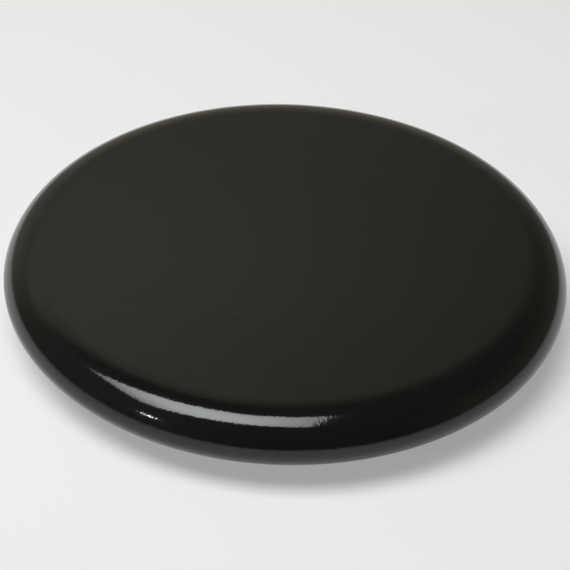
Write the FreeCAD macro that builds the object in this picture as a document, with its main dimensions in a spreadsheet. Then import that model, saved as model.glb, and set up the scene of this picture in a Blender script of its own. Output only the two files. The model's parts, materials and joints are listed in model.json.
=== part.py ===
import FreeCAD, Part

import math
import os

import Sketcher

# Gas burner cap: a round enamelled lid, cast in one piece, that closes the top of a burner's crown.
# The rim rolls over in a wide crown round and curls under in a nose round to a flat seat.
# A locating ring stands below the seat and drops into the crown; the middle is hollowed out.
# Millimetres, +Z up, on the axis of the cap, with Z = 0 at the foot of the locating ring.

DRIVING_SIZES = {
    "cap_diameter": 75.0,
    "rim_height": 6.9,
    "crown_round": 4.9,
    "roll_angle": 70.0,
    "ring_diameter": 48.0,
    "ring_wall": 2.6,
    "ring_drop": 3.5,
    "web_thickness": 3.0,
    "root_flank": 0.7,
    "foot_lead": 0.8,
    "recess_flank": 2.0,
}

doc = FreeCAD.newDocument("gas_burner_cap")


def make_sheet():
    """Spreadsheet with one named cell for each driving size."""
    sheet = doc.addObject("Spreadsheet::Sheet", "sizes")
    for row, (name, value) in enumerate(DRIVING_SIZES.items(), start=1):
        sheet.set(f"A{row}", name)
        sheet.set(f"B{row}", str(value))
        sheet.setAlias(f"B{row}", name)
    doc.recompute()
    return sheet


sizes = make_sheet()


def origin_plane(body, role):
    """The body's own origin plane with this role."""
    return next(plane for plane in body.Origin.OriginFeatures if plane.Role == role)


def new_sketch(body, name, role):
    """Empty sketch on one of the body's origin planes."""
    sketch = body.newObject("Sketcher::SketchObject", name)
    sketch.AttachmentSupport = [(origin_plane(body, role), "")]
    sketch.MapMode = "FlatFace"
    return sketch


def dimension(sketch, name, constraint, formula):
    """Named dimension of a sketch, driven by the spreadsheet."""
    index = sketch.addConstraint(Sketcher.Constraint(*constraint))
    sketch.renameConstraint(index, name)
    sketch.setExpression(f"Constraints.{name}", formula)


def point(x, y):
    """Point of a sketch."""
    return FreeCAD.Vector(x, y, 0)


def arc(centre, radius, start_degrees, end_degrees):
    """Anticlockwise arc of a sketch."""
    circle = Part.Circle(centre, FreeCAD.Vector(0, 0, 1), radius)
    return Part.ArcOfCircle(circle, math.radians(start_degrees), math.radians(end_degrees))


def draw_blank_section(body):
    """Half section of the solid lid: flat top, crown round, nose round and flat seat."""
    sketch = new_sketch(body, "blank_section", "XZ_Plane")
    radius = sizes.cap_diameter / 2
    seat = sizes.ring_drop
    top = seat + sizes.rim_height
    crown = sizes.crown_round
    turn = math.radians(sizes.roll_angle)
    nose = (sizes.rim_height - crown * (1 - math.cos(turn))) / (1 + math.cos(turn))
    nose_x = radius - nose
    crown_x = nose_x - (crown - nose) * math.sin(turn)
    turn_end = 90 - sizes.roll_angle

    axis = sketch.addGeometry(Part.LineSegment(point(0, seat), point(0, top)))
    lid = sketch.addGeometry(Part.LineSegment(point(0, top), point(crown_x, top)))
    crown_arc = sketch.addGeometry(arc(point(crown_x, top - crown), crown, turn_end, 90))
    nose_arc = sketch.addGeometry(arc(point(nose_x, seat + nose), nose, -90, turn_end))
    under = sketch.addGeometry(Part.LineSegment(point(nose_x, seat), point(0, seat)))
    reach = sketch.addGeometry(Part.LineSegment(point(radius, seat), point(radius, top)), True)

    # In a constraint, point 1 is a start, point 2 an end; -1 is the origin and -2 the vertical axis
    for constraint in (
        ("PointOnObject", axis, 1, -2),
        ("PointOnObject", axis, 2, -2),
        ("Coincident", axis, 2, lid, 1),
        ("Coincident", under, 2, axis, 1),
        ("Horizontal", lid),
        ("Horizontal", under),
        ("Tangent", lid, 2, crown_arc, 2),
        ("Tangent", crown_arc, 1, nose_arc, 2),
        ("Tangent", nose_arc, 1, under, 1),
        ("Vertical", reach),
        ("Horizontal", under, 1, reach, 1),
        ("Horizontal", lid, 2, reach, 2),
        ("Tangent", nose_arc, reach),
    ):
        sketch.addConstraint(Sketcher.Constraint(*constraint))

    for name, constraint, formula in (
        ("seat_height", ("DistanceY", -1, 1, axis, 1, seat), "sizes.ring_drop"),
        ("rim_height", ("DistanceY", axis, 1, axis, 2, top - seat), "sizes.rim_height"),
        ("cap_radius", ("DistanceX", -1, 1, reach, 1, radius), "sizes.cap_diameter / 2"),
        ("crown_round", ("Radius", crown_arc, crown), "sizes.crown_round"),
        ("roll_angle", ("Angle", crown_arc, turn), "sizes.roll_angle * 1 deg"),
    ):
        dimension(sketch, name, constraint, formula)
    return sketch


def draw_circles(body, name, diameters):
    """Concentric circles at the foot of the locating ring, each with its diameter's formula."""
    sketch = new_sketch(body, name, "XY_Plane")
    for label, (value, formula) in diameters.items():
        circle = Part.Circle(point(0, 0), FreeCAD.Vector(0, 0, 1), value / 2)
        index = sketch.addGeometry(circle)
        sketch.addConstraint(Sketcher.Constraint("Coincident", index, 3, -1, 1))
        dimension(sketch, label, ("Diameter", index, value), formula)
    return sketch


def circle_edge(shape, radius, height):
    """Name of the round edge of this radius at this height."""
    for number, edge in enumerate(shape.Edges, start=1):
        if not isinstance(edge.Curve, Part.Circle):
            continue
        same_radius = math.isclose(edge.Curve.Radius, radius, abs_tol=1e-6)
        if same_radius and math.isclose(edge.Curve.Center.z, height, abs_tol=1e-6):
            return f"Edge{number}"
    raise RuntimeError(f"no round edge of radius {radius} at height {height}")


def slope_edges(body, name, edges, formula):
    """Chamfer on round edges, each given as (radius, height), with its size from the spreadsheet."""
    doc.recompute()
    base = body.Tip
    chamfer = body.newObject("PartDesign::Chamfer", name)
    chamfer.Base = (base, [circle_edge(base.Shape, radius, height) for radius, height in edges])
    chamfer.setExpression("Size", formula)


def make_cap():
    """The whole cap, as one body."""
    body = doc.addObject("PartDesign::Body", "burner_cap")
    body.Label = "burner_cap"

    # Solid lid, turned from its half section
    section = draw_blank_section(body)
    blank = body.newObject("PartDesign::Revolution", "blank")
    blank.Profile = section
    blank.ReferenceAxis = (section, ["V_Axis"])
    blank.Angle = 360

    # Locating ring, from its foot up to the seat
    ring_inside = sizes.ring_diameter - 2 * sizes.ring_wall
    ring_formula = "sizes.ring_diameter"
    inside_formula = "sizes.ring_diameter - 2 * sizes.ring_wall"
    ring = body.newObject("PartDesign::Pad", "locating_ring")
    ring.Profile = draw_circles(body, "ring_section", {
        "outside": (sizes.ring_diameter, ring_formula),
        "inside": (ring_inside, inside_formula),
    })
    ring.setExpression("Length", "sizes.ring_drop")

    # Recess inside the ring, up to the web that carries the flat top
    doc.recompute()
    solid_volume = body.Shape.Volume
    recess = body.newObject("PartDesign::Pocket", "recess")
    recess.Profile = draw_circles(body, "recess_section", {"inside": (ring_inside, inside_formula)})
    recess.Reversed = True
    recess.setExpression("Length", "sizes.ring_drop + sizes.rim_height - sizes.web_thickness")
    doc.recompute()
    if body.Shape.Volume >= solid_volume:
        raise RuntimeError("the recess cut nothing")

    # Sloped corners and a lead-in at the foot, because enamel draws back from a square edge
    web_height = sizes.ring_drop + sizes.rim_height - sizes.web_thickness
    outer = sizes.ring_diameter / 2
    inner = ring_inside / 2
    slope_edges(body, "ring_root", [(outer, sizes.ring_drop)], "sizes.root_flank")
    slope_edges(body, "ring_foot", [(outer, 0), (inner, 0)], "sizes.foot_lead")
    slope_edges(body, "recess_corner", [(inner, web_height)], "sizes.recess_flank")
    doc.recompute()
    return body


def check_document(bodies):
    """Stop if any object failed or a sub-part has no sound shape."""
    for item in doc.Objects:
        if "Invalid" in item.State or "Error" in item.State:
            raise RuntimeError(f"{item.Label} failed: {item.State}")
    for body in bodies:
        if body.Shape.isNull() or not body.Shape.isValid():
            raise RuntimeError(f"{body.Label} has no sound shape")
        if len(body.Shape.Solids) != 1:
            raise RuntimeError(f"{body.Label} is not one solid")


parts = [make_cap()]
check_document(parts)
os.makedirs("parts", exist_ok=True)
for part in parts:
    part.Shape.exportStep(f"parts/{part.Label}.step")
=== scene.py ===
import json
import math

import bpy
from mathutils import Matrix, Vector


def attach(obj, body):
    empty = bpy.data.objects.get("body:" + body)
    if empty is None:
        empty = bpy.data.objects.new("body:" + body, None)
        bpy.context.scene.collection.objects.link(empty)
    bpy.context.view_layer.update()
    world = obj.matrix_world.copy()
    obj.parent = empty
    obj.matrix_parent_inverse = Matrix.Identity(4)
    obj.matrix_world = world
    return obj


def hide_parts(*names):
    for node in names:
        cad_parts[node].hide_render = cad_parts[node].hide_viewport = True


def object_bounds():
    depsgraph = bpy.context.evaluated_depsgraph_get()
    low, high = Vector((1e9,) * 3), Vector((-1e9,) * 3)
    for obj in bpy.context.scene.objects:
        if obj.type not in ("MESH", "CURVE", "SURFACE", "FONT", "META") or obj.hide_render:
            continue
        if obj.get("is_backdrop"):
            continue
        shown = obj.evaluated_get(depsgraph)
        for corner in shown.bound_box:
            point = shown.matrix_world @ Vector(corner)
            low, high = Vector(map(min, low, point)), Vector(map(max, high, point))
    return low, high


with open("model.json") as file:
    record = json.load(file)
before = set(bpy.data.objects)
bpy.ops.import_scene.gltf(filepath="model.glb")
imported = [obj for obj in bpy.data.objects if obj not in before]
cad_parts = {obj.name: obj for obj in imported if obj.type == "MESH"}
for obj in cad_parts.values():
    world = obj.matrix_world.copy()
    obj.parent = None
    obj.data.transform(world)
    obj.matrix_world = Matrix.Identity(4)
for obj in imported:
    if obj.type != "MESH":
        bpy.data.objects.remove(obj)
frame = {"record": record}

bl_info = {
    "name": "Gas burner cap",
    "version": (1, 0, 0),
    "blender": (4, 5, 0),
    "location": "3D View > Sidebar > Burner cap",
    "description": "Models a gas burner cap in gloss black enamel and sets a small studio round it",
    "category": "Object",
}

MM = 0.001
CAD_LOW, CAD_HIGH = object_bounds()
MOUNTS = {mount["name"]: mount for mount in frame["record"]["mounts"]}


# Sizes and colours

class CapForm(bpy.types.PropertyGroup):
    """Sizes of the cap's section."""

    diameter: bpy.props.FloatProperty(
        name="Diameter", description="Width of the cap over its rim",
        default=CAD_HIGH.x - CAD_LOW.x, unit="LENGTH", precision=4)
    top_height: bpy.props.FloatProperty(
        name="Top height", description="Height of the flat top above the ring's foot",
        default=CAD_HIGH.z, unit="LENGTH", precision=4)
    seat_height: bpy.props.FloatProperty(
        name="Seat height", description="Height of the flat seat above the ring's foot",
        default=MOUNTS["seat"]["pos_m"][2], unit="LENGTH", precision=4)
    lead_round: bpy.props.FloatProperty(
        name="Lead round", description="Radius of the slow curve from the flat top into the crown round",
        default=18.0 * MM, unit="LENGTH", precision=4)
    lead_angle: bpy.props.FloatProperty(
        name="Lead angle", description="Turn of the slow curve before the crown round takes over",
        default=math.radians(4), subtype="ANGLE")
    crown_round: bpy.props.FloatProperty(
        name="Crown round", description="Radius of the rim's upper round",
        default=4.9 * MM, unit="LENGTH", precision=4)
    roll_angle: bpy.props.FloatProperty(
        name="Roll angle", description="Turn of the rim before the nose round takes over",
        default=math.radians(70), subtype="ANGLE")
    ring_radius: bpy.props.FloatProperty(
        name="Ring radius", description="Outer radius of the locating ring",
        default=MOUNTS["locating_ring"]["dims"]["r_mm"] * MM, unit="LENGTH", precision=4)
    ring_wall: bpy.props.FloatProperty(
        name="Ring wall", description="Thickness of the locating ring",
        default=2.6 * MM, unit="LENGTH", precision=4)
    web: bpy.props.FloatProperty(
        name="Web", description="Thickness of the top above the recess",
        default=3.0 * MM, unit="LENGTH", precision=4)
    root_flank: bpy.props.FloatProperty(
        name="Root flank", description="Slope where the ring meets the seat",
        default=0.7 * MM, unit="LENGTH", precision=4)
    foot_lead: bpy.props.FloatProperty(
        name="Foot lead", description="Slope at the foot of the ring",
        default=0.8 * MM, unit="LENGTH", precision=4)
    recess_flank: bpy.props.FloatProperty(
        name="Recess flank", description="Slope where the recess meets the web",
        default=2.0 * MM, unit="LENGTH", precision=4)
    enamel_round: bpy.props.FloatProperty(
        name="Enamel round", description="How far the enamel softens each corner underneath",
        default=0.25 * MM, unit="LENGTH", precision=5)


class EnamelFinish(bpy.types.PropertyGroup):
    """Colours and surface of the enamel."""

    black: bpy.props.FloatVectorProperty(
        name="Black", description="Colour of the top coat",
        default=(0.0062, 0.0060, 0.0054), subtype="COLOR", size=3)
    ground: bpy.props.FloatVectorProperty(
        name="Ground coat", description="Colour of the thin coat underneath",
        default=(0.016, 0.016, 0.0165), subtype="COLOR", size=3)
    thin_edge: bpy.props.FloatVectorProperty(
        name="Thin edge", description="Colour of the ground coat where it draws thin at the ring's foot",
        default=(0.030, 0.024, 0.020), subtype="COLOR", size=3)
    pin_mark: bpy.props.FloatVectorProperty(
        name="Pin mark", description="Colour of the three marks that the kiln's pins left underneath",
        default=(0.060, 0.055, 0.050), subtype="COLOR", size=3)
    pin_depth: bpy.props.FloatProperty(
        name="Pin depth", description="Depth of the pin marks",
        default=0.04 * MM, unit="LENGTH", precision=6)
    dust: bpy.props.FloatVectorProperty(
        name="Dust", description="Colour of the specks of dust on the top",
        default=(0.021, 0.020, 0.018), subtype="COLOR", size=3)
    gloss_roughness: bpy.props.FloatProperty(
        name="Gloss roughness", description="Roughness of the top coat",
        default=0.09, subtype="FACTOR", min=0, max=1)
    ground_roughness: bpy.props.FloatProperty(
        name="Ground roughness", description="Roughness of the coat underneath",
        default=0.34, subtype="FACTOR", min=0, max=1)
    peel_size: bpy.props.FloatProperty(
        name="Peel size", description="Width of one dimple of the orange peel",
        default=0.36 * MM, unit="LENGTH", precision=5)
    peel_depth: bpy.props.FloatProperty(
        name="Peel depth", description="Depth of the orange peel",
        default=0.009 * MM, unit="LENGTH", precision=6)
    wave_size: bpy.props.FloatProperty(
        name="Wave size", description="Width of one slow wave of the glaze",
        default=5.0 * MM, unit="LENGTH", precision=4)
    wave_depth: bpy.props.FloatProperty(
        name="Wave depth", description="Depth of the slow waves",
        default=0.010 * MM, unit="LENGTH", precision=6)


class StudioSetup(bpy.types.PropertyGroup):
    """Camera, lamps, floor and room."""

    target: bpy.props.FloatVectorProperty(
        name="Target", description="Point that the camera looks at",
        default=(-0.02 * MM, -3.59 * MM, 6.0 * MM), subtype="TRANSLATION", size=3)
    elevation: bpy.props.FloatProperty(
        name="Elevation", description="Height of the camera above the horizon",
        default=math.radians(37.605), subtype="ANGLE")
    roll: bpy.props.FloatProperty(
        name="Roll", description="Turn of the camera about its line of sight",
        default=math.radians(1.8), subtype="ANGLE")
    distance: bpy.props.FloatProperty(
        name="Distance", description="From the camera to its target",
        default=0.26, unit="LENGTH")
    lens: bpy.props.FloatProperty(
        name="Lens", description="Focal length in millimetres",
        default=123.88, unit="CAMERA")
    # The floor's two colours paint a pool of light on it: pale round the cap, dimmer away from it
    floor_painted_pool: bpy.props.FloatVectorProperty(
        name="Pale floor", description="Colour of the floor round the cap",
        default=(0.93, 0.925, 0.915), subtype="COLOR", size=3)
    floor_painted_dim: bpy.props.FloatVectorProperty(
        name="Far floor", description="Colour of the floor away from the cap",
        default=(0.50, 0.49, 0.475), subtype="COLOR", size=3)
    floor_lift: bpy.props.FloatProperty(
        name="Floor lift", description="Share of plain white in the floor as the eye and the gloss see it",
        default=0.35, subtype="FACTOR", min=0, max=1)
    softbox_height: bpy.props.FloatProperty(
        name="Softbox height", description="Height of the softbox above the floor",
        default=0.6, unit="LENGTH")
    softbox_cloth: bpy.props.FloatVectorProperty(
        name="Softbox cloth", description="Colour of the softbox's glowing cloth",
        default=(0.962, 0.988, 1.0), subtype="COLOR", size=3)
    softbox_glow: bpy.props.FloatProperty(
        name="Softbox glow", description="Brightness at the middle of the softbox beside a white of 1",
        default=8.65)
    lamp_bearing: bpy.props.FloatProperty(
        name="Lamp bearing", description="Direction of the small lamp, from straight behind the cap",
        default=math.radians(-131.35), subtype="ANGLE")
    lamp_rise: bpy.props.FloatProperty(
        name="Lamp rise", description="Height of the small lamp above the horizon",
        default=math.radians(22.5), subtype="ANGLE")
    lamp_reach: bpy.props.FloatProperty(
        name="Lamp reach", description="From the cap to the small lamp",
        default=0.6, unit="LENGTH")
    lamp_size: bpy.props.FloatProperty(
        name="Lamp size", description="Width of the small round lamp",
        default=0.034, unit="LENGTH")
    lamp_glow: bpy.props.FloatProperty(
        name="Lamp glow", description="Brightness of the small lamp beside a white of 1",
        default=48.0)
    room: bpy.props.FloatVectorProperty(
        name="Room", description="Light of the dim room",
        default=(0.052, 0.050, 0.042), subtype="COLOR", size=3)
    haze: bpy.props.FloatVectorProperty(
        name="Haze", description="Light of the room's far side, low over the floor",
        default=(0.155, 0.148, 0.122), subtype="COLOR", size=3)
    spill: bpy.props.FloatVectorProperty(
        name="Spill", description="Light that the softbox spills on the room's left side",
        default=(0.115, 0.111, 0.096), subtype="COLOR", size=3)
    wall: bpy.props.FloatVectorProperty(
        name="Wall", description="Light of the pale wall behind the cap",
        default=(0.445, 0.426, 0.341), subtype="COLOR", size=3)
    wall_foot: bpy.props.FloatVectorProperty(
        name="Wall foot", description="Light of the warm foot of the wall, low over the floor",
        default=(0.475, 0.43, 0.33), subtype="COLOR", size=3)


# Shader maths

class Value:
    """Output of a node; arithmetic on it adds Math nodes."""

    def __init__(self, graph, socket):
        self.graph = graph
        self.socket = socket

    def sibling(self, name):
        """Another output of the same node."""
        return Value(self.graph, self.socket.node.outputs[name])

    def math(self, operation, *values):
        """Math node with this value first."""
        sockets = dict(enumerate((self, *values)))
        return self.graph.add("ShaderNodeMath", {"operation": operation}, sockets)

    def reflected(self, operation, value):
        """Math node with this value second."""
        return self.graph.add("ShaderNodeMath", {"operation": operation}, {0: value, 1: self})

    def __add__(self, other):
        return self.math("ADD", other)

    def __radd__(self, other):
        return self.reflected("ADD", other)

    def __sub__(self, other):
        return self.math("SUBTRACT", other)

    def __rsub__(self, other):
        return self.reflected("SUBTRACT", other)

    def __mul__(self, other):
        return self.math("MULTIPLY", other)

    def __rmul__(self, other):
        return self.reflected("MULTIPLY", other)

    def ramp(self, low, high):
        """Smooth rise from 0 at low to 1 at high; low may be the larger of the two."""
        sockets = {"Value": self, "From Min": low, "From Max": high}
        return self.graph.add("ShaderNodeMapRange", {"interpolation_type": "SMOOTHSTEP"}, sockets)


class Graph:
    """Node tree of a material or world, emptied and built up again."""

    def __init__(self, owner):
        owner.use_nodes = True
        self.tree = owner.node_tree
        self.tree.nodes.clear()

    def add(self, kind, settings=None, sockets=None):
        """New node with its settings, then the values or links of its sockets; gives its first output."""
        node = self.tree.nodes.new(kind)
        for name, setting in (settings or {}).items():
            setattr(node, name, setting)
        for name, value in (sockets or {}).items():
            if isinstance(value, Value):
                self.tree.links.new(value.socket, node.inputs[name])
            else:
                node.inputs[name].default_value = value
        return Value(self, node.outputs[0]) if node.outputs else None

    def place(self):
        """Point of the surface, in the object's own frame."""
        return self.add("ShaderNodeTexCoord").sibling("Object")

    def parts(self, vector):
        """The three numbers of a vector."""
        split = self.add("ShaderNodeSeparateXYZ", {}, {"Vector": vector})
        return split, split.sibling("Y"), split.sibling("Z")

    def mix(self, factor, first, second):
        """Colour between two colours."""
        node = self.add("ShaderNodeMix", {"data_type": "RGBA"}, {0: factor, 6: first, 7: second})
        return Value(self, node.socket.node.outputs[2])

    def noise(self, place, size, detail=1.0):
        """Soft noise with lumps of the given size."""
        sockets = {"Vector": place, "Scale": 1 / size, "Detail": detail, "Roughness": 0.5}
        return self.add("ShaderNodeTexNoise", {"noise_dimensions": "3D"}, sockets)


def colour(rgb):
    """Colour with full alpha, as a socket takes it."""
    return (*rgb, 1.0)


# Enamel

# Specks of dust on the top: place, half length, half width, turn in degrees
DUST_SPECKS = (
    (8.66 * MM, 2.11 * MM, 0.46 * MM, 0.20 * MM, 90),
    (-6.18 * MM, -15.24 * MM, 0.58 * MM, 0.26 * MM, -25),
    (-7.56 * MM, 6.08 * MM, 0.34 * MM, 0.24 * MM, 60),
)
# Marks of the three pins that carried the cap through the kiln, with their bearings in degrees
PIN_CIRCLE = 29.5 * MM
PIN_BEARINGS = (35, 155, 275)
PIN_HALF_WIDTH = 0.9 * MM
# Share of its half width over which a spot is full, before it fades
SPOT_CORE = 0.2

# How far inside the rim the orange peel begins to deepen, and where it is full
PEEL_BEGINS = 9 * MM
PEEL_FULL = 4 * MM
# How far above the seat the top coat begins to thin, and where the ground coat takes over
COAT_BEGINS = 0.5 * MM
COAT_FULL = 0.1 * MM
# How far above the foot the ground coat begins to draw thin, and where it is thinnest
THIN_BEGINS = 1.1 * MM
THIN_FULL = 0.2 * MM

# Lumps of the three noises, and the spans of noise that are drawn out to full contrast
CLOUD_SIZE = 7 * MM
MOTTLE_SIZE = 0.7 * MM
SPECKLE_SIZE = 0.5 * MM
SHADE_SPAN = (0.36, 0.64)
SPECKLE_SPAN = (0.45, 0.65)

# Weight of the mottle beside the clouds, and how far both take the black up and down
MOTTLE_WEIGHT = 2.0
BLACK_SPREAD = 0.12
# How much paler a speckle is, and how strong the speckles are, everywhere and more in the clouds
SPECKLE_GAIN = 1.8
SPECKLE_BASE = 0.6
SPECKLE_CLOUD = 0.8
# How strong the thin edge's colour is, everywhere and more in the clouds, and that of the pin marks
THIN_BASE = 0.4
THIN_CLOUD = 0.6
PIN_STRENGTH = 0.8
# How far the clouds take the gloss, and the roughness that marks, thin edge and dust add
GLOSS_SPREAD = 0.03
PIN_ROUGHNESS = 0.25
THIN_ROUGHNESS = 0.08
DUST_ROUGHNESS = 0.2
# Share of the orange peel that the flat top has
TOP_PEEL = 0.25


def pin_spots():
    """The pin marks as round spots."""
    spots = []
    for degrees in PIN_BEARINGS:
        bearing = math.radians(degrees)
        x, y = PIN_CIRCLE * math.cos(bearing), PIN_CIRCLE * math.sin(bearing)
        spots.append((x, y, PIN_HALF_WIDTH, PIN_HALF_WIDTH, 0))
    return spots


def spot_mask(graph, place, spots, height):
    """Mask of small soft-edged spots at one height."""
    mask = 0.0
    for x, y, half_length, half_width, turn in spots:
        local = graph.add("ShaderNodeMapping", {"vector_type": "TEXTURE"}, {
            "Vector": place, "Location": (x, y, height), "Rotation": (0, 0, math.radians(turn)),
            "Scale": (half_length, half_width, half_width)})
        away = graph.add("ShaderNodeVectorMath", {"operation": "LENGTH"}, {0: local}).sibling("Value")
        mask = away.ramp(1.0, SPOT_CORE) + mask
    return mask


def coat_masks(graph, place, form):
    """Masks of the rim's round, of the underside with the hollow in the ring, and of the foot's edge."""
    across, along, height = graph.parts(place)
    radius = (across * across + along * along).math("SQRT")
    rim = radius.ramp(form.diameter / 2 - PEEL_BEGINS, form.diameter / 2 - PEEL_FULL)
    below_seat = height.ramp(form.seat_height + COAT_BEGINS, form.seat_height + COAT_FULL)
    inside_ring = radius.ramp(form.ring_radius, form.ring_radius - form.ring_wall / 2)
    below_web = height.ramp(form.top_height - form.web / 3, form.top_height - form.web * 2 / 3)
    under = below_seat.math("MAXIMUM", inside_ring * below_web)
    foot = height.ramp(THIN_BEGINS, THIN_FULL)
    return rim, under, foot


def make_enamel(form, finish):
    """Gloss black enamel with a fine orange peel, and a thin dull ground coat underneath."""
    material = bpy.data.materials.new("gloss_black_enamel")
    graph = Graph(material)
    place = graph.place()
    rim, under, foot = coat_masks(graph, place, form)
    dust = spot_mask(graph, place, DUST_SPECKS, form.top_height)
    pins = spot_mask(graph, place, pin_spots(), form.seat_height)
    cloud = graph.noise(place, CLOUD_SIZE, detail=3.0)
    mottle = graph.noise(place, MOTTLE_SIZE, detail=3.0)
    speckle = graph.noise(place, SPECKLE_SIZE, detail=2.0)

    shade = (cloud + mottle * MOTTLE_WEIGHT) * (1 / (1 + MOTTLE_WEIGHT))
    deeper = colour(Vector(finish.black) * (1 - BLACK_SPREAD))
    paler = colour(Vector(finish.black) * (1 + BLACK_SPREAD))
    black = graph.mix(shade.ramp(*SHADE_SPAN), deeper, paler)
    grain = speckle.ramp(*SPECKLE_SPAN) * (SPECKLE_BASE + SPECKLE_CLOUD * cloud)
    ground = graph.mix(grain, colour(finish.ground), colour(Vector(finish.ground) * SPECKLE_GAIN))
    thinned = graph.mix(foot * (THIN_BASE + THIN_CLOUD * cloud), ground, colour(finish.thin_edge))
    marked = graph.mix(pins * PIN_STRENGTH, thinned, colour(finish.pin_mark))
    coat = graph.mix(under, black, marked)
    tint = graph.mix(dust, coat, colour(finish.dust))

    gloss = finish.gloss_roughness + (cloud - 0.5) * GLOSS_SPREAD
    step = finish.ground_roughness - finish.gloss_roughness
    dull = step + pins * PIN_ROUGHNESS + foot * THIN_ROUGHNESS
    roughness = gloss + under * dull + dust * DUST_ROUGHNESS

    peel = graph.noise(place, finish.peel_size) * (TOP_PEEL + (1 - TOP_PEEL) * rim)
    wave = graph.noise(place, finish.wave_size)
    relief = peel * finish.peel_depth + wave * finish.wave_depth - pins * finish.pin_depth
    bump = graph.add("ShaderNodeBump", {}, {"Strength": 1.0, "Distance": 1.0, "Height": relief})

    shader = graph.add("ShaderNodeBsdfPrincipled", {}, {
        "Base Color": tint, "Roughness": roughness, "Normal": bump, "IOR": 1.5})
    graph.add("ShaderNodeOutputMaterial", {}, {"Surface": shader})
    return material


# The cap

# Fineness of the mesh: turn of one step of a round, steps of the whole turn, rings of the flat faces,
# fewest steps of the lead curve and steps of a softened corner
ARC_STEP = math.radians(2.5)
TURN_STEPS = 256
TOP_RINGS = 6
LEAD_STEPS = 4
CORNER_STEPS = 4
# Slack for merging points, for finding a corner's vertex, and for the cap in the solid's box
MERGE_SLACK = 0.002 * MM
POINT_SLACK = 0.001 * MM
BOX_SLACK = 0.01 * MM
# Larger faces lead the shading, as strongly as the modifier allows
LARGE_FACE_WEIGHT = 100


class SectionPen:
    """Draws the half section in edit mode, one vertex at a time, in the plane Y = 0."""

    def __init__(self, radius, height):
        self.at = Vector((radius, 0, height))
        bpy.ops.transform.translate(value=self.at)

    def line(self, radius, height, pieces=1):
        """Straight run to a point, in equal pieces."""
        step = (Vector((radius, 0, height)) - self.at) / pieces
        for _ in range(pieces):
            bpy.ops.mesh.extrude_region_move(TRANSFORM_OT_translate={"value": step})
        self.at = Vector((radius, 0, height))

    def arc(self, centre_radius, centre_height, turn, fewest=1):
        """Round run about a centre, clockwise with +X to the right and +Z up."""
        centre = Vector((centre_radius, 0, centre_height))
        steps = max(fewest, round(turn / ARC_STEP))
        bpy.ops.mesh.spin(steps=steps, angle=turn, center=centre, axis=(0, -1, 0))
        self.at = centre + Matrix.Rotation(turn, 3, "Y") @ (self.at - centre)


def start_mesh(name):
    """New object in edit mode, with one selected vertex at the origin."""
    bpy.ops.object.select_all(action="DESELECT")
    bpy.ops.mesh.primitive_plane_add(size=MM)
    piece = bpy.context.object
    piece.name = name
    piece.data.name = name
    bpy.ops.object.mode_set(mode="EDIT")
    bpy.ops.mesh.select_mode(type="VERT")
    bpy.ops.mesh.select_all(action="SELECT")
    bpy.ops.mesh.merge(type="CENTER")
    return piece


def draw_section(form):
    """Half section of the cap, from the middle of the top round the rim and under to the recess.

    Gives the corners underneath.
    """
    radius = form.diameter / 2
    seat = form.seat_height
    top = form.top_height
    crown = form.crown_round
    turn = form.roll_angle
    lead = form.lead_round
    lead_turn = form.lead_angle
    crown_top = top - (lead - crown) * (1 - math.cos(lead_turn))
    nose = (crown_top - seat - crown * (1 - math.cos(turn))) / (1 + math.cos(turn))
    nose_x = radius - nose
    crown_x = nose_x - (crown - nose) * math.sin(turn)
    lead_x = crown_x - (lead - crown) * math.sin(lead_turn)
    ring_inside = form.ring_radius - form.ring_wall
    web_height = top - form.web

    pen = SectionPen(0, top)
    pen.line(lead_x, top, TOP_RINGS)
    pen.arc(lead_x, top - lead, lead_turn, LEAD_STEPS)
    pen.arc(crown_x, crown_top - crown, turn - lead_turn)
    pen.arc(nose_x, seat + nose, math.pi - turn)
    corners = (
        (form.ring_radius + form.root_flank, seat),
        (form.ring_radius, seat - form.root_flank),
        (form.ring_radius, form.foot_lead),
        (form.ring_radius - form.foot_lead, 0),
        (ring_inside + form.foot_lead, 0),
        (ring_inside, form.foot_lead),
        (ring_inside, web_height - form.recess_flank),
        (ring_inside - form.recess_flank, web_height),
    )
    for corner in corners:
        pen.line(*corner)
    pen.line(0, web_height, TOP_RINGS)
    return corners


def soften_corners(piece, corners, reach):
    """In edit mode, round the section at these corners."""
    bpy.ops.mesh.select_all(action="DESELECT")
    bpy.ops.object.mode_set(mode="OBJECT")
    for vertex in piece.data.vertices:
        spot = Vector((vertex.co.x, vertex.co.z))
        vertex.select = any((spot - Vector(corner)).length < POINT_SLACK for corner in corners)
    bpy.ops.object.mode_set(mode="EDIT")
    bpy.ops.mesh.bevel(offset=reach, segments=CORNER_STEPS, affect="VERTICES")


def turn_section():
    """In edit mode, turn the section about the cap's axis into one skin that faces outwards."""
    bpy.ops.mesh.select_all(action="SELECT")
    bpy.ops.mesh.spin(steps=TURN_STEPS, angle=2 * math.pi, center=(0, 0, 0), axis=(0, 0, 1))
    bpy.ops.mesh.select_all(action="SELECT")
    bpy.ops.mesh.remove_doubles(threshold=MERGE_SLACK)
    bpy.ops.mesh.normals_make_consistent(inside=False)


def finish_mesh(piece):
    """Leave edit mode, stop if the skin has an open edge, and shade it smooth."""
    bpy.ops.mesh.select_all(action="DESELECT")
    bpy.ops.mesh.select_non_manifold()
    bpy.ops.object.mode_set(mode="OBJECT")
    if any(vertex.select for vertex in piece.data.vertices):
        raise RuntimeError("the cap's surface is not closed")
    bpy.ops.object.shade_smooth()
    weighted = piece.modifiers.new("even_shading", "WEIGHTED_NORMAL")
    weighted.mode = "FACE_AREA"
    weighted.weight = LARGE_FACE_WEIGHT
    bpy.ops.object.modifier_apply(modifier=weighted.name)


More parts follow.
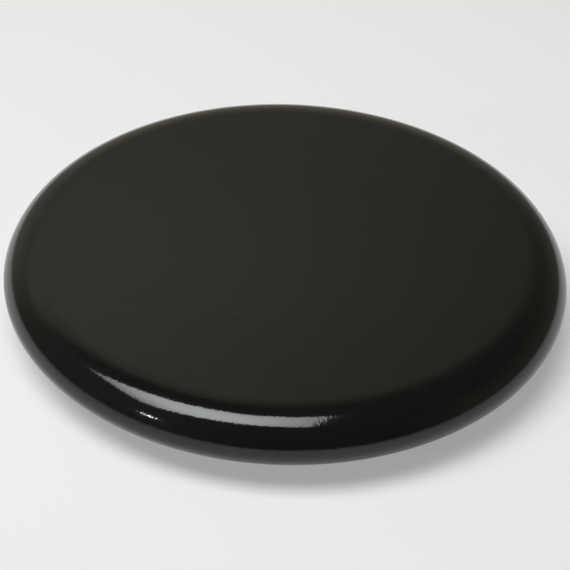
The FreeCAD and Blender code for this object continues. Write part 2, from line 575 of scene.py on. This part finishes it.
class BURNERCAP_OT_make_cap(bpy.types.Operator):
    """Model the enamelled cap by turning its section, in place of the plain solid"""

    bl_idname = "burner_cap.make_cap"
    bl_label = "Make cap"

    def execute(self, context):
        form = context.scene.burner_cap_form
        cap = start_mesh("enamelled_cap")
        corners = draw_section(form)
        soften_corners(cap, corners, form.enamel_round)
        turn_section()
        finish_mesh(cap)
        cap.data.materials.append(make_enamel(form, context.scene.burner_cap_enamel))

        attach(cap, "root")
        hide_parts("burner_cap")
        low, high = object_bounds()
        if (low - CAD_LOW).length > BOX_SLACK or (high - CAD_HIGH).length > BOX_SLACK:
            raise RuntimeError("the cap does not fill the solid's box")
        return {"FINISHED"}


# Studio

# Width of the floor, the middle of the pool of light painted on it, and how far from there the painted
# light begins to dim and is dimmest
FLOOR_WIDTH = 6.0
PAINTED_POOL_MIDDLE = (0, 0.03, 0)
PAINTED_POOL_FADE = (0.05, 0.26)

# The softbox's corners seen from above, in shares of its height:
# front left, front right, back left, back right
SOFTBOX_CORNERS = ((-0.83, -0.46), (0.155, -0.49), (-0.91, 0.12), (0.155, 0.015))
# Where its cloth is brightest, and how far the glow reaches along X and Y, in the same shares
SOFTBOX_MIDDLE = (-0.315, -0.23)
SOFTBOX_REACH = (0.405, 0.47)

# The room, in degrees of bearing, from straight behind the cap to the right, and of rise above the horizon.
# Each pair says where a part of it begins and where it is full.
HAZE_TOP = (48, 4)
SPILL_TOP = (62, 46)
WALL_LEFT = (-74, -38)
WALL_TOP = (60, 37)
WALL_CORNER = (-105, -78)
WALL_RIGHT = (39, 12)
WALL_TAIL = (72, 25)
WALL_BAND = (32.3, 38.2)
PATCH_LEFT = (-28, -8)
PATCH_TOP = (31, 24)
WALL_FOOT_LEFT = (-22, -10)
WALL_FOOT_RIGHT = (18, 7)
WALL_FOOT_TOP = (33, 18)
# Sides of the haze and of the spill, as the part of a unit direction that runs back, or to the right
HAZE_SIDE = (-0.8, -0.2)
SPILL_SIDE = (-0.25, -0.75)
# Slope of the wall's right edge with the rise, and of its band with the bearing
WALL_SLANT = 0.55
BAND_TILT = 0.1
# Brightness of the wall's face, what its upper band and its middle patch add, and that of its tail
FACE_SHARE = 0.60
BAND_SHARE = 0.40
PATCH_SHARE = 0.28
TAIL_SHARE = 0.12

# Nearest thing that the camera sees
CLIP_START = 10 * MM


def make_floor(studio):
    """Pale floor with a pool of light painted round the cap, dimming slowly away from it."""
    bpy.ops.object.select_all(action="DESELECT")
    bpy.ops.mesh.primitive_plane_add(size=FLOOR_WIDTH)
    floor = bpy.context.object
    floor.name = "floor"
    material = bpy.data.materials.new("pale_floor")
    graph = Graph(material)
    away = graph.add("ShaderNodeVectorMath", {"operation": "DISTANCE"}, {0: graph.place(), 1: PAINTED_POOL_MIDDLE})
    # Painted light: the colour is palest round the cap and dims away from it, in the matt floor and in its
    # white alike
    dim = away.sibling("Value").ramp(*PAINTED_POOL_FADE)
    tint = graph.mix(dim, colour(studio.floor_painted_pool), colour(studio.floor_painted_dim))
    matt = graph.add("ShaderNodeBsdfDiffuse", {}, {"Color": tint})
    white = graph.add("ShaderNodeEmission", {}, {"Color": tint, "Strength": 1.0})
    path = graph.add("ShaderNodeLightPath")
    glossy, through = path.sibling("Is Glossy Ray"), path.sibling("Is Transmission Ray")
    seen = path.sibling("Is Camera Ray").math("MAXIMUM", glossy).math("MAXIMUM", through)
    shader = graph.add("ShaderNodeMixShader", {}, {0: seen * studio.floor_lift, 1: matt, 2: white})
    graph.add("ShaderNodeOutputMaterial", {}, {"Surface": shader})
    floor.data.materials.append(material)
    floor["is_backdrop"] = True


def make_softbox_cloth(studio):
    """Glowing cloth that dims towards its edges."""
    material = bpy.data.materials.new("softbox_cloth")
    graph = Graph(material)
    squares = 0.0
    for part, middle, reach in zip(graph.parts(graph.place()), SOFTBOX_MIDDLE, SOFTBOX_REACH):
        away = part * (1 / (reach * studio.softbox_height)) - middle / reach
        squares = away * away + squares
    fall = (squares * -0.5).math("EXPONENT")
    cloth = graph.mix(fall, colour((0, 0, 0)), colour(studio.softbox_cloth))
    shader = graph.add("ShaderNodeEmission", {}, {"Color": cloth, "Strength": studio.softbox_glow})
    graph.add("ShaderNodeOutputMaterial", {}, {"Surface": shader})
    return material


def hang_softbox(studio):
    """Softbox overhead to the left."""
    bpy.ops.object.select_all(action="DESELECT")
    bpy.ops.mesh.primitive_plane_add(size=1, location=(0, 0, studio.softbox_height))
    softbox = bpy.context.object
    softbox.name = "softbox"
    for vertex, corner in zip(softbox.data.vertices, SOFTBOX_CORNERS):
        vertex.co = Vector((*corner, 0)) * studio.softbox_height
    softbox.data.materials.append(make_softbox_cloth(studio))
    softbox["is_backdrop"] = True


def add_small_lamp(studio):
    """Small round lamp low at the front left, for the bright spot on the rim."""
    bearing, rise = studio.lamp_bearing, studio.lamp_rise
    level = Vector((math.sin(bearing), math.cos(bearing), 0)) * math.cos(rise)
    direction = level + Vector((0, 0, math.sin(rise)))
    bpy.ops.object.light_add(type="AREA", location=direction * studio.lamp_reach)
    lamp = bpy.context.object
    lamp.name = "small_lamp"
    lamp.data.shape = "DISK"
    lamp.data.size = studio.lamp_size
    # An area lamp's power is its brightness times its area times pi
    area = math.pi * (studio.lamp_size / 2) ** 2
    lamp.data.energy = studio.lamp_glow * area * math.pi
    lamp.rotation_mode = "QUATERNION"
    lamp.rotation_quaternion = (-direction).to_track_quat("-Z", "Y")


def light_room(studio):
    """Dim room with a paler wall behind the cap, as the light that the gloss reflects."""
    world = bpy.data.worlds.new("studio_room")
    bpy.context.scene.world = world
    graph = Graph(world)
    to_right, to_back, upwards = graph.parts(graph.add("ShaderNodeTexCoord").sibling("Generated"))
    bearing = to_right.math("ARCTAN2", to_back).math("DEGREES")
    rise = upwards.math("ARCSINE").math("DEGREES")

    # The room: paler low on its far side, and where the softbox spills on its left side
    far_side = rise.ramp(*HAZE_TOP) * to_back.ramp(*HAZE_SIDE)
    haze = graph.mix(far_side, colour(studio.room), colour(studio.haze))
    left_side = to_right.ramp(*SPILL_SIDE) * rise.ramp(*SPILL_TOP)
    spill = graph.mix(left_side, haze, colour(studio.spill))

    # The wall: its left and top edges, the corner between them, and a slanting right edge with a faint tail
    edges = bearing.ramp(*WALL_LEFT) * rise.ramp(*WALL_TOP) * (bearing - rise).ramp(*WALL_CORNER)
    slant = bearing + rise * WALL_SLANT
    right = slant.ramp(*WALL_RIGHT)
    tail = slant.ramp(*WALL_TAIL) * (1 - right)
    band = (rise - bearing * BAND_TILT).ramp(*WALL_BAND)
    patch = bearing.ramp(*PATCH_LEFT) * rise.ramp(*PATCH_TOP)
    face = FACE_SHARE + BAND_SHARE * band + PATCH_SHARE * patch
    wall = graph.mix(edges * (right * face + tail * TAIL_SHARE), spill, colour(studio.wall))

    # The wall's foot, straight behind the cap
    foot = bearing.ramp(*WALL_FOOT_LEFT) * bearing.ramp(*WALL_FOOT_RIGHT) * rise.ramp(*WALL_FOOT_TOP)
    glow = graph.mix(foot, wall, colour(studio.wall_foot))
    shader = graph.add("ShaderNodeBackground", {}, {"Color": glow, "Strength": 1.0})
    graph.add("ShaderNodeOutputWorld", {}, {"Surface": shader})


def place_camera(studio):
    """Camera at the view of the cap."""
    bpy.ops.object.camera_add()
    camera = bpy.context.object
    camera.name = "view_of_the_cap"
    camera.data.lens = studio.lens
    camera.data.clip_start = CLIP_START
    away = Vector((0, -math.cos(studio.elevation), math.sin(studio.elevation))) * studio.distance
    tilt = Matrix.Rotation(math.pi / 2 - studio.elevation, 4, "X")
    roll = Matrix.Rotation(studio.roll, 4, "Z")
    camera.matrix_world = Matrix.Translation(Vector(studio.target) + away) @ tilt @ roll
    bpy.context.scene.camera = camera


class BURNERCAP_OT_set_stage(bpy.types.Operator):
    """Set the floor, the lamps, the room and the camera"""

    bl_idname = "burner_cap.set_stage"
    bl_label = "Set stage"

    def execute(self, context):
        studio = context.scene.burner_cap_studio
        make_floor(studio)
        hang_softbox(studio)
        add_small_lamp(studio)
        light_room(studio)
        place_camera(studio)
        context.scene.view_settings.view_transform = "Standard"
        return {"FINISHED"}


# Add-on

class BURNERCAP_PT_panel(bpy.types.Panel):
    """Sidebar panel with the sizes, the finish, the studio and the steps"""

    bl_idname = "BURNERCAP_PT_panel"
    bl_label = "Gas burner cap"
    bl_space_type = "VIEW_3D"
    bl_region_type = "UI"
    bl_category = "Burner cap"

    def draw(self, context):
        for group in ("burner_cap_form", "burner_cap_enamel", "burner_cap_studio"):
            settings = getattr(context.scene, group)
            box = self.layout.box()
            for name in settings.bl_rna.properties.keys():
                if name not in ("rna_type", "name"):
                    box.prop(settings, name)
        self.layout.operator(BURNERCAP_OT_make_cap.bl_idname)
        self.layout.operator(BURNERCAP_OT_set_stage.bl_idname)


CLASSES = (
    CapForm,
    EnamelFinish,
    StudioSetup,
    BURNERCAP_OT_make_cap,
    BURNERCAP_OT_set_stage,
    BURNERCAP_PT_panel,
)


def register():
    """Add the classes, and their settings to the scene."""
    for each in CLASSES:
        bpy.utils.register_class(each)
    bpy.types.Scene.burner_cap_form = bpy.props.PointerProperty(type=CapForm)
    bpy.types.Scene.burner_cap_enamel = bpy.props.PointerProperty(type=EnamelFinish)
    bpy.types.Scene.burner_cap_studio = bpy.props.PointerProperty(type=StudioSetup)


def unregister():
    """Take the settings and the classes away again."""
    del bpy.types.Scene.burner_cap_studio
    del bpy.types.Scene.burner_cap_enamel
    del bpy.types.Scene.burner_cap_form
    for each in reversed(CLASSES):
        bpy.utils.unregister_class(each)


def main():
    """Model the cap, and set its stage."""
    register()
    bpy.ops.burner_cap.make_cap()
    bpy.ops.burner_cap.set_stage()


if __name__ == "__main__":
    main()
